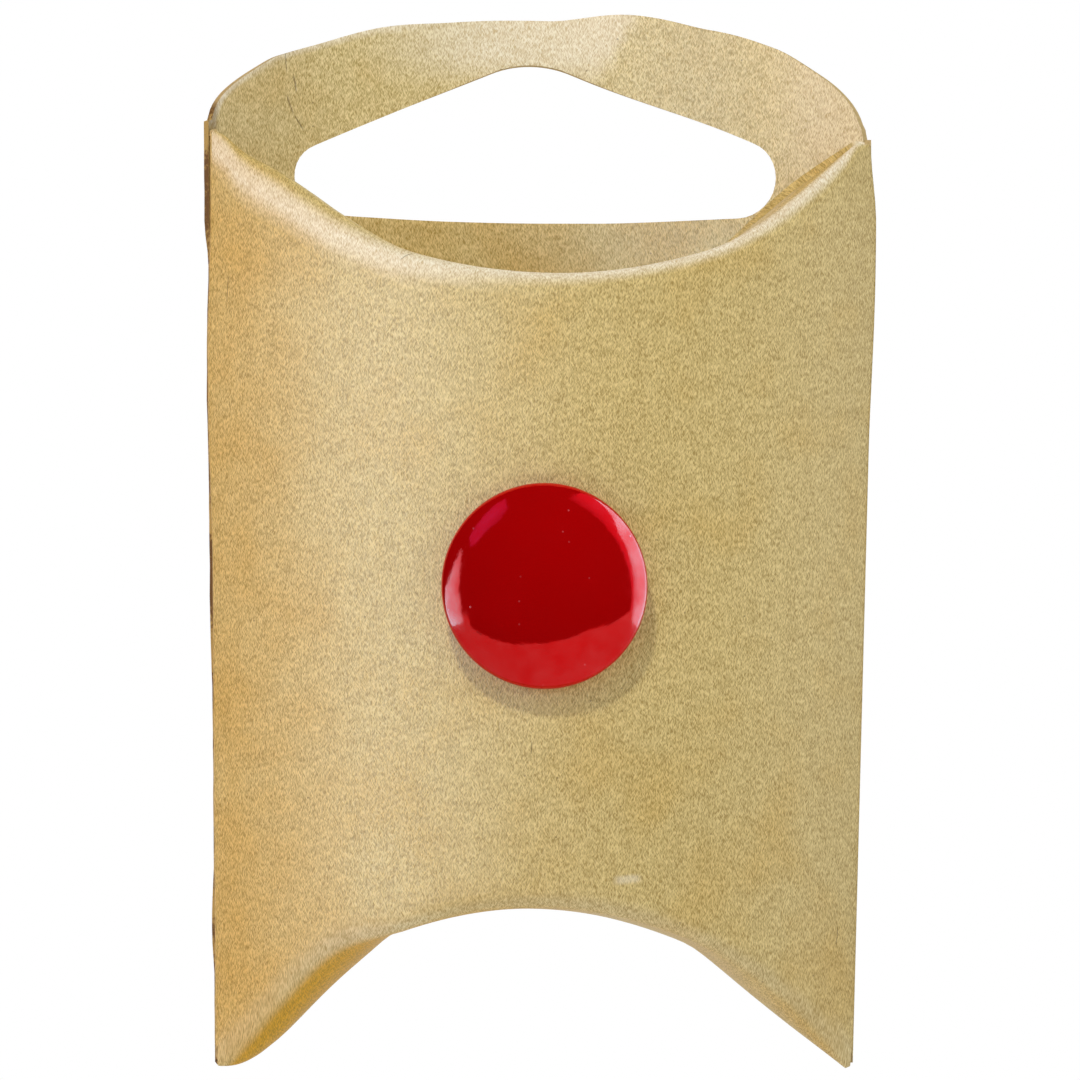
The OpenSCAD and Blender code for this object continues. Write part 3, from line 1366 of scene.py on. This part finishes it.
            # Painted warm shade behind the top crest and low down, and painted warm light on the left
            top_flap = self.top_flap_painted_warm_shade.at(v - pack.high_fold(u))
            return max(flap, top_flap, self.left_painted_warm_light.at(x) + self.low_painted_warm_shade.at(v))
        # Painted warm shade on the back panel
        return max(flap, self.back_painted_warm_shade.at(v - pack.top_z))

    def soil_and_shade_at(self, u: float, v: float) -> float:
        """How far a place on the blank is darkened: dirt on the seam's raw edge; painted shade low on the
        front, on the back below the hole and on the left of the back; and the right of the back made darker.

        Args:
            u: Distance from the left edge of the blank.
            v: Height on the blank.

        Returns:
            A share of the soiled colour.
        """
        pack = self.pack
        x, _ = pack.plan_at(u)
        # Off the back: painted shade on the lower front
        if pack.strip_at(u) is not Strip.BACK:
            return self.low_painted_shade.at(v) * self.low_painted_shade_reach.at(x)
        # On the back: dirt along the seam, painted shade below the hole and on the left, and the right made
        # darker
        sides = self.tab_left_painted_shade.at(x) + self.tab_right_darkening.at(x)
        return max(self.seam_soil.at(u - pack.blank_w), self.under_hole_painted_shade.at(v + pack.hole_h), sides)

    def mark(self, mesh: bmesh.types.BMesh) -> None:
        """Keeps the places on the flat blank as a UV map, and the marks and the painted light and shade
        there as attributes.

        Args:
            mesh: The flat blank.
        """
        uv = mesh.loops.layers.uv.new(BLANK_UV)
        wear, warmth, soil_and_shade = (mesh.verts.layers.float.new(name) for name in (WEAR_AND_HIGHLIGHT, PAINTED_WARM_LIGHT_SHADE, SOIL_AND_SHADE))
        for face in mesh.faces:
            face.smooth = True
            for loop in face.loops:
                loop[uv].uv = (loop.vert.co.xy + self.pack.margin) / UV_SPAN
        for vert in mesh.verts:
            u, v = vert.co.xy
            vert[wear] = self.wear_and_highlight_at(u, v)
            vert[warmth] = self.painted_warmth_at(u, v)
            vert[soil_and_shade] = self.soil_and_shade_at(u, v)

    def laid(self, strip: Strip, marks: Iterable[Streak]) -> tuple[Streak, ...]:
        """Moves marks from their places on a panel to the blank's own texture.

        Args:
            strip: The panel.
            marks: Marks across and up that panel.

        Returns:
            The marks in the units of the texture.
        """
        moved = []
        for mark in marks:
            ends = (Vector((self.pack.panel_u(strip, x), z)) for x, z in (mark.start, mark.end))
            moved.append(Streak(*(tuple(end + self.pack.margin) for end in ends), mark.width))
        return tuple(moved)

    def materials(self) -> list[bpy.types.Material]:
        """Finishes of the board's outside, its inside and its raw edge, in slot order.

        Returns:
            The three materials.
        """
        outside = KraftBoard(
            name="kraft_outside",
            dark=(0.40, 0.272, 0.072),
            light=(0.80, 0.635, 0.27),
            creases=self.laid(Strip.FRONT, self.front_creases),
            flecks=self.laid(Strip.FRONT, self.front_flecks),
        )
        # The inside is a paler copy of the board: painted light on the inner face of the tab
        inside = KraftBoard(
            name="kraft_inside",
            dark=(0.44, 0.32, 0.095),
            light=(0.88, 0.74, 0.39),
            creases=self.laid(Strip.BACK, self.tab_creases),
        )
        return [finish.material() for finish in (outside, inside, RawEdge())]


# The button


@dataclass
class DisplayButton:
    """Domed shank button with a rounded rim and an eye through its shank."""

    centre: tuple[float, float]
    front_y: float
    diameter: float
    rim_r: float = 0.8
    crown_h: float = 3.2
    shank_d: float = 3.6
    shank_l: float = 3.2
    eye_d: float = 1.8
    eye_depth: float = 1.4
    turns: int = 128
    crown_steps: int = 32
    rim_steps: int = 14
    shank_steps: int = 16
    eye_steps: int = 24

    @classmethod
    def from_frame(cls) -> DisplayButton:
        """Takes the button's place and diameter from its CAD solid."""
        low, high = (Vector(corner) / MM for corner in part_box("display_button"))
        return cls(((low.x + high.x) / 2, (low.z + high.z) / 2), low.y, high.x - low.x)

    def __post_init__(self) -> None:
        """Works out the crown, a flat dome that runs smoothly into the rim."""
        rise = self.crown_h - self.rim_r
        self.rim_x = self.diameter / 2 - self.rim_r
        self.crown_r = (self.rim_x**2 + self.crown_h**2 - self.rim_r**2) / (2 * rise)
        self.crown_turn = math.asin(self.rim_x / (self.crown_r - self.rim_r))

    def face_at(self, across: float, up: float) -> tuple[Vector, Vector]:
        """Finds a place on the front of the button, off its middle.

        Args:
            across: Distance to the right of the middle.
            up: Distance above the middle.

        Returns:
            The place in the pack's frame, and the direction that the face has there.
        """
        reach = math.hypot(across, up)
        if reach < self.crown_r * math.sin(self.crown_turn):
            angle = math.asin(reach / self.crown_r)
            depth = self.crown_r * (1.0 - math.cos(angle))
        else:
            angle = math.asin((reach - self.rim_x) / self.rim_r)
            depth = self.crown_h - self.rim_r * math.cos(angle)
        slope = math.sin(angle) / reach
        place = Vector((self.centre[0] + across, self.front_y + depth, self.centre[1] + up))
        return place, Vector((across * slope, -math.cos(angle), up * slope))

    def profile(self) -> list[tuple[float, float]]:
        """Half section of the button: distance from its axis, and height above the rim's middle.

        Returns:
            Its points, from the crown to the end of the shank.
        """
        rim_x, crown_r, turn = self.rim_x, self.crown_r, self.crown_turn
        points = []
        for step in range(self.crown_steps):
            angle = turn * step / self.crown_steps
            points.append((crown_r * math.sin(angle), self.crown_h - crown_r + crown_r * math.cos(angle)))
        for step in range(self.rim_steps + 1):
            angle = turn + (math.pi - turn) * step / self.rim_steps
            points.append((rim_x + self.rim_r * math.sin(angle), self.rim_r * math.cos(angle)))
        for step in range(self.shank_steps + 1):
            points.append((self.shank_d / 2, -self.rim_r - self.shank_l * step / self.shank_steps))
        return [*points, (0.0, -self.rim_r - self.shank_l)]

    def eye_outline(self) -> list[Vector]:
        """Outline of the eye in the shank, seen along the pin.

        Returns:
            Its corners, in order.
        """
        middle = Vector((0.0, self.rim_r + self.eye_depth, 0.0))
        turns = (2 * math.pi * step / self.eye_steps for step in range(self.eye_steps))
        return [middle + self.eye_d / 2 * Vector((math.sin(turn), -math.cos(turn), 0.0)) for turn in turns]

    def turned(self) -> bmesh.types.BMesh:
        """Turns the button's solid round its axis and drills its eye.

        Returns:
            The button about its own axis, along Y, with its front at -Y.
        """
        mesh = bmesh.new()
        verts = [mesh.verts.new((reach, -rise, 0.0)) for reach, rise in self.profile()]
        edges = [mesh.edges.new(pair) for pair in zip(verts, verts[1:])]
        full_turn = {"cent": (0, 0, 0), "axis": (0, 1, 0), "angle": 2 * math.pi, "use_merge": True}
        bmesh.ops.spin(mesh, geom=verts + edges, steps=self.turns, **full_turn)
        bmesh.ops.remove_doubles(mesh, verts=mesh.verts, dist=MERGE)
        bmesh.ops.recalc_face_normals(mesh, faces=mesh.faces)
        rims = []
        for side in (1.0, -1.0):
            half = [face for face in mesh.faces if side * face.calc_center_median().z > 0.0]
            rims += punch(mesh, self.eye_outline(), Z_AXIS, half)
        bmesh.ops.bridge_loops(mesh, edges=rims)
        bmesh.ops.recalc_face_normals(mesh, faces=mesh.faces)
        return mesh

    def build(self) -> bpy.types.Object:
        """Makes the button, sets it in its place and polishes it.

        Returns:
            The finished button.
        """
        mesh = self.turned()
        for face in mesh.faces:
            face.smooth = True
        for edge in mesh.edges:
            edge.smooth = edge.is_manifold and edge.calc_face_angle() < SHARP
        place = Vector((self.centre[0], self.front_y + self.crown_h, self.centre[1]))
        bmesh.ops.translate(mesh, verts=mesh.verts, vec=place)
        bmesh.ops.scale(mesh, verts=mesh.verts, vec=(MM, MM, MM))
        piece = make_piece(mesh, "domed_button", [RedGloss().material()])
        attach(piece, "root")
        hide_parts("display_button")
        return piece


# Tools for every piece


def punch(
    mesh: bmesh.types.BMesh,
    outline: list[Vector],
    along: Vector,
    faces: list[bmesh.types.BMFace] | None = None,
) -> list[bmesh.types.BMEdge]:
    """Cuts a convex outline out of a surface.

    Args:
        mesh: The mesh to cut.
        outline: Corners of the outline, in order.
        along: Direction in which the punch moves.
        faces: The faces that the punch may reach; all of them if none are named.

    Returns:
        The edges round the new hole.
    """
    middle = sum(outline, Vector()) / len(outline)
    reach = max((corner - middle).length for corner in outline)
    inner = []
    for face in faces or mesh.faces:
        centre = face.calc_center_median()
        offset = centre - middle
        offset -= offset.project(along)
        size = max((vert.co - centre).length for vert in face.verts)
        if offset.length < reach + size:
            inner.append(face)
    for first, second in zip(outline, outline[1:] + outline[:1]):
        if (second - first).length < TINY:
            continue
        outward = (second - first).cross(along).normalized()
        if (middle - first).dot(outward) > 0.0:
            outward.negate()
        parts = {item for face in inner for item in (face, *face.edges, *face.verts)}
        cut = bmesh.ops.bisect_plane(mesh, geom=list(parts), dist=MERGE, plane_co=first, plane_no=outward)
        kept = [item for item in cut["geom"] if isinstance(item, bmesh.types.BMFace)]
        inner = [face for face in kept if (face.calc_center_median() - first).dot(outward) < 0.0]
    loose = set(inner)
    edges = {edge for face in inner for edge in face.edges}
    rim = [edge for edge in edges if any(face not in loose for face in edge.link_faces)]
    bmesh.ops.delete(mesh, geom=inner, context="FACES")
    return rim


def make_piece(mesh: bmesh.types.BMesh, name: str, materials: list[bpy.types.Material]) -> bpy.types.Object:
    """Turns a finished mesh into an object in the scene.

    Args:
        mesh: The mesh, in metres and in place; it is freed.
        name: Name of the piece.
        materials: Its materials, in slot order.

    Returns:
        The new object, at the origin.
    """
    data = bpy.data.meshes.new(name)
    mesh.to_mesh(data)
    mesh.free()
    for material in materials:
        data.materials.append(material)
    piece = bpy.data.objects.new(name, data)
    bpy.context.scene.collection.objects.link(piece)
    LOG.info("%s: %d faces before its modifiers", name, len(data.polygons))
    return piece


# Studio


@dataclass(frozen=True)
class Lamp:
    """A soft square lamp that faces the pack; a sheen shows in gloss only, and only on the board."""

    name: str
    azimuth: float
    elevation: float
    distance: float
    size: float
    power: float
    colour: Colour = WHITE
    sheen: bool = False
    board_only: bool = False


def sheet(width: float, height: float, rise: float = 0.0) -> tuple[tuple[float, float], ...]:
    """Corners of a plain square-cut card."""
    across, up = width / 2, height / 2
    return (-across, rise - up), (across, rise - up), (across, rise + up), (-across, rise + up)


@dataclass(frozen=True)
class Card:
    """A flat card that faces the button and shows only in its gloss.

    Its first corners are given by the places right of and above the button's middle at which the
    camera sees them in the gloss. The corners beyond lie on the card itself, about the point straight
    ahead of the button. A card with a fade is clear at the first place across it and full at the second.
    """

    name: str
    azimuth: float
    elevation: float
    distance: float
    seen: tuple[tuple[float, float], ...] = ()
    beyond: tuple[tuple[float, float], ...] = ()
    glow: Colour = DARK
    fade: tuple[float, float] | None = None


# Bright pane on the left of the button, down its rim and up again further in
LEFT_PANE = (
    (-5.6, 2.4), (-6.3, 0.9), (-6.6, 0.1), (-6.75, -0.7), (-6.65, -1.75),
    (-5.8, -3.6), (-5.2, -3.4), (-5.7, -1.4), (-5.8, -0.2), (-5.75, 1.55),
)


@dataclass
class Studio:
    """Pale floor, white surround, soft lamps, cards for the gloss, and the camera."""

    centre: Vector
    low_z: float
    gloss_at: Vector
    dome: DisplayButton
    board: bpy.types.Object
    button: bpy.types.Object
    camera_distance: float = 414.0
    camera_azimuth: float = -2.35
    camera_elevation: float = -3.15
    camera_roll: float = 0.56
    aim_rise: float = 4.03
    aim_side: float = 0.12
    lens: float = 198.5
    near_clip: float = 10.0
    far_clip: float = 20000.0
    ambient: float = 0.36
    floor_drop: float = 90.0
    floor_r: float = 800.0
    floor_sides: int = 64
    floor_fade: tuple[float, float] = (250.0, 700.0)
    floor_colour: Colour = (0.92, 0.92, 0.92)
    lamps: tuple[Lamp, ...] = (
        Lamp("key", -18.0, 50.0, 400.0, 30.0, 0.69, (1.0, 0.98, 0.94)),
        Lamp("fill", 55.0, 12.0, 600.0, 400.0, 0.8, (0.97, 0.98, 1.0)),
        Lamp("behind", 160.0, 40.0, 600.0, 400.0, 1.6),
        Lamp("glow", -80.0, 5.0, 500.0, 250.0, 0.6, (1.0, 0.43, 0.12), board_only=True),
        Lamp("bounce", -55.0, -35.0, 190.0, 120.0, 0.05, (1.0, 0.85, 0.6), board_only=True),
        Lamp("sheen", -38.0, 7.0, 400.0, 150.0, 3.0, (0.75, 0.93, 1.0), sheen=True),
        Lamp("edge_sheen", 86.0, 5.0, 400.0, 100.0, 0.5, sheen=True),
    )
    cards: tuple[Card, ...] = (
        Card("front_flag", 0.0, 0.0, 100.0,
             seen=((-4.8, -3.4), (2.8, -3.15), (5.75, -1.75)),
             beyond=((400.0, 600.0), (-230.0, 600.0))),
        Card("top_flag", 0.0, 90.0, 700.0, beyond=sheet(2000.0, 2000.0)),
        Card("left_flag", -90.0, 0.0, 420.0, beyond=sheet(1000.0, 800.0, 250.0)),
        Card("left_window", -86.0, -4.0, 300.0, seen=LEFT_PANE, glow=(1.3, 14.0, 16.0), fade=(110.0, 10.0)),
        Card("left_glow", -86.0, -4.0, 310.0, seen=LEFT_PANE[:4] + LEFT_PANE[5:], glow=(1.1, 2.5, 2.5)),
        Card("right_window", 93.0, 12.0, 320.0,
             seen=((3.5, 5.7), (4.1, 4.7), (5.95, 0.1), (5.9, -1.95), (5.4, -3.9)),
             beyond=((400.0, -310.0), (400.0, 420.0)),
             glow=(1.6, 9.0, 10.5), fade=(-110.0, -55.0)),
        Card("right_glow", 66.0, 25.0, 350.0,
             seen=((1.25, 5.6), (2.1, 5.1), (3.3, 3.7), (4.25, 2.0), (5.1, -0.5), (5.6, -1.65)),
             beyond=((200.0, -260.0), (200.0, 360.0)),
             glow=(1.0, 0.3, 0.6), fade=(-72.0, 70.0)),
        Card("haze", -66.0, 48.0, 250.0,
             seen=((-2.75, 5.85), (-3.75, 5.1), (-4.55, 4.15), (-5.15, 3.2), (-5.1, 2.5),
                   (-4.4, 2.9), (-3.7, 3.3), (-3.2, 4.05), (-2.6, 5.2)),
             glow=(0.5, 0.3, 1.3), fade=(70.0, 0.0)),
    )

    @staticmethod
    def facing(target: Vector, stand: Lamp | Card) -> Matrix:
        """Place and turn, in millimetres, of a lamp or a card that faces a target.

        Args:
            target: What it faces.
            stand: The lamp or the card.

        Returns:
            The matrix of both.
        """
        way = toward(stand.azimuth, stand.elevation)
        turn = way.to_track_quat("Z", "Y").to_matrix().to_4x4()
        return Matrix.Translation(target + way * stand.distance) @ turn

    @staticmethod
    def shine_only_on(source: bpy.types.Object, piece: bpy.types.Object) -> None:
        """Keeps the light of a lamp or a card to one piece.

        Args:
            source: The lamp or the card.
            piece: The piece that it lights.
        """
        receivers = bpy.data.collections.new(f"{source.name}_receivers")
        receivers.objects.link(piece)
        source.light_linking.receiver_collection = receivers

    def camera_place(self) -> Vector:
        """Place of the camera, in millimetres."""
        return self.centre + toward(self.camera_azimuth, self.camera_elevation) * self.camera_distance

    def corners(self, card: Card) -> list[Vector]:
        """Works out the corners of a card, by following the camera's view off the button's dome.

        Args:
            card: The card.

        Returns:
            The corners on the card, about the point straight ahead of the button.
        """
        stand = self.facing(self.gloss_at, card)
        way = toward(card.azimuth, card.elevation)
        met = []
        for across, up in card.seen:
            place, outward = self.dome.face_at(across, up)
            view = place - self.camera_place()
            mirrored = view - 2 * view.dot(outward) * outward
            run = (stand.translation - place).dot(way) / mirrored.dot(way)
            met.append((stand.inverted() @ (place + run * mirrored)).xy)
        return met + [Vector(corner) for corner in card.beyond]

    def build_camera(self) -> None:
        """Sets the camera at the viewing angle of the photograph."""
        data = bpy.data.cameras.new("camera")
        data.lens = self.lens
        data.clip_start, data.clip_end = self.near_clip * MM, self.far_clip * MM
        camera = bpy.data.objects.new("camera", data)
        bpy.context.scene.collection.objects.link(camera)
        place = self.camera_place()
        ahead = (self.centre + Vector((self.aim_side, 0.0, self.aim_rise)) - place).normalized()
        right = ahead.cross(Z_AXIS).normalized()
        level = Matrix((right, right.cross(ahead), -ahead)).transposed().to_4x4()
        roll = Matrix.Rotation(math.radians(self.camera_roll), 4, "Z")
        camera.matrix_world = Matrix.Translation(place * MM) @ level @ roll
        bpy.context.scene.camera = camera

    def build_lamps(self) -> None:
        """Hangs the lamps; the button's gloss sees the cards and not the lamps."""
        for lamp in self.lamps:
            data = bpy.data.lights.new(lamp.name, "AREA")
            data.size = lamp.size * MM
            data.energy = lamp.power
            data.color = lamp.colour
            light = bpy.data.objects.new(lamp.name, data)
            bpy.context.scene.collection.objects.link(light)
            place = self.facing(self.centre, lamp)
            place.translation = place.translation * MM
            light.matrix_world = place
            if lamp.sheen or lamp.board_only:
                self.shine_only_on(light, self.board)
            light.visible_diffuse = not lamp.sheen
            light.visible_glossy = lamp.sheen

    def build_world(self) -> None:
        """Makes a white surround, which is seen brighter than it lights the pack."""
        world = bpy.data.worlds.new("surround")
        bpy.context.scene.world = world
        bench = Bench(world)
        seen = 0.0
        for ray in ("Is Camera Ray", "Is Glossy Ray", "Is Transmission Ray"):
            seen = bench.larger(bench.add("ShaderNodeLightPath", out=ray), seen)
        level = self.ambient + (1.0 - self.ambient) * seen
        bench.end(bench.add("ShaderNodeBackground", {}, {"Color": WHITE, "Strength": level}))

    def build_floor(self) -> None:
        """Lays a pale round floor that fades into the surround and can't be seen from below."""
        bench = Bench.material("pale_floor")
        far = bench.add("ShaderNodeVectorMath", {"operation": "LENGTH"}, {0: bench.solid()}, "Value")
        under = bench.add("ShaderNodeNewGeometry", out="Backfacing")
        pale = bench.add("ShaderNodeBsdfDiffuse", {}, {"Color": self.floor_colour})
        gone = bench.larger(bench.ease(far, *self.floor_fade), under)
        material = bench.end(bench.veiled(pale, gone))
        mesh = bmesh.new()
        bmesh.ops.create_circle(mesh, cap_ends=True, segments=self.floor_sides, radius=self.floor_r * MM)
        drop = Vector((0.0, 0.0, self.low_z - self.floor_drop)) * MM
        bmesh.ops.translate(mesh, verts=mesh.verts, vec=drop)
        make_piece(mesh, "floor", [material])

    @staticmethod
    def card_material(card: Card) -> bpy.types.Material:
        """Glow of a card, which fades to clear across it if the card has a fade.

        Args:
            card: The card.

        Returns:
            The finished material.
        """
        bench = Bench.material(card.name)
        shader = bench.add("ShaderNodeEmission", {}, {"Color": card.glow})
        if card.fade:
            clear_at, full_at = card.fade
            across = bench.part(bench.blank(), "X")
            shader = bench.veiled(shader, bench.ease(across, full_at, clear_at))
        return bench.end(shader)

    def build_card(self, card: Card) -> None:
        """Hangs a card that only the gloss sees.

        Args:
            card: The card.
        """
        mesh = bmesh.new()
        face = mesh.faces.new([mesh.verts.new((*corner, 0.0)) for corner in self.corners(card)])
        uv = mesh.loops.layers.uv.new(BLANK_UV)
        for loop in face.loops:
            loop[uv].uv = loop.vert.co.xy / UV_SPAN
        place = Matrix.Scale(MM, 4) @ self.facing(self.gloss_at, card)
        bmesh.ops.transform(mesh, matrix=place, verts=mesh.verts)
        piece = make_piece(mesh, card.name, [self.card_material(card)])
        piece.visible_camera = False
        piece.visible_diffuse = False
        piece.visible_shadow = False
        piece.visible_transmission = False
        self.shine_only_on(piece, self.button)

    def build(self) -> None:
        """Sets the whole studio up."""
        self.build_camera()
        self.build_world()
        self.build_lamps()
        self.build_floor()
        for card in self.cards:
            self.build_card(card)
        bpy.context.scene.view_settings.view_transform = "Standard"


def main() -> None:
    """Builds every piece in its place and sets the studio up round it."""
    logging.basicConfig(level=logging.INFO, format="%(message)s")
    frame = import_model()
    pack = PillowPack.from_frame()
    button = DisplayButton.from_frame()
    pin = frame["nodes"]["retaining_pin"]
    pin.data.materials.clear()
    pin.data.materials.append(PinNylon().material())
    LOG.info("%s: %d faces, finished as nylon", pin.name, len(pin.data.polygons))
    middle = Vector((0.0, pack.fold_y, (pack.top_z + pack.bottom_z) / 2))
    gloss_at = Vector((button.centre[0], button.front_y, button.centre[1]))
    Studio(middle, pack.bottom_z, gloss_at, button, pack.build(), button.build()).build()


if __name__ == "__main__":
    main()
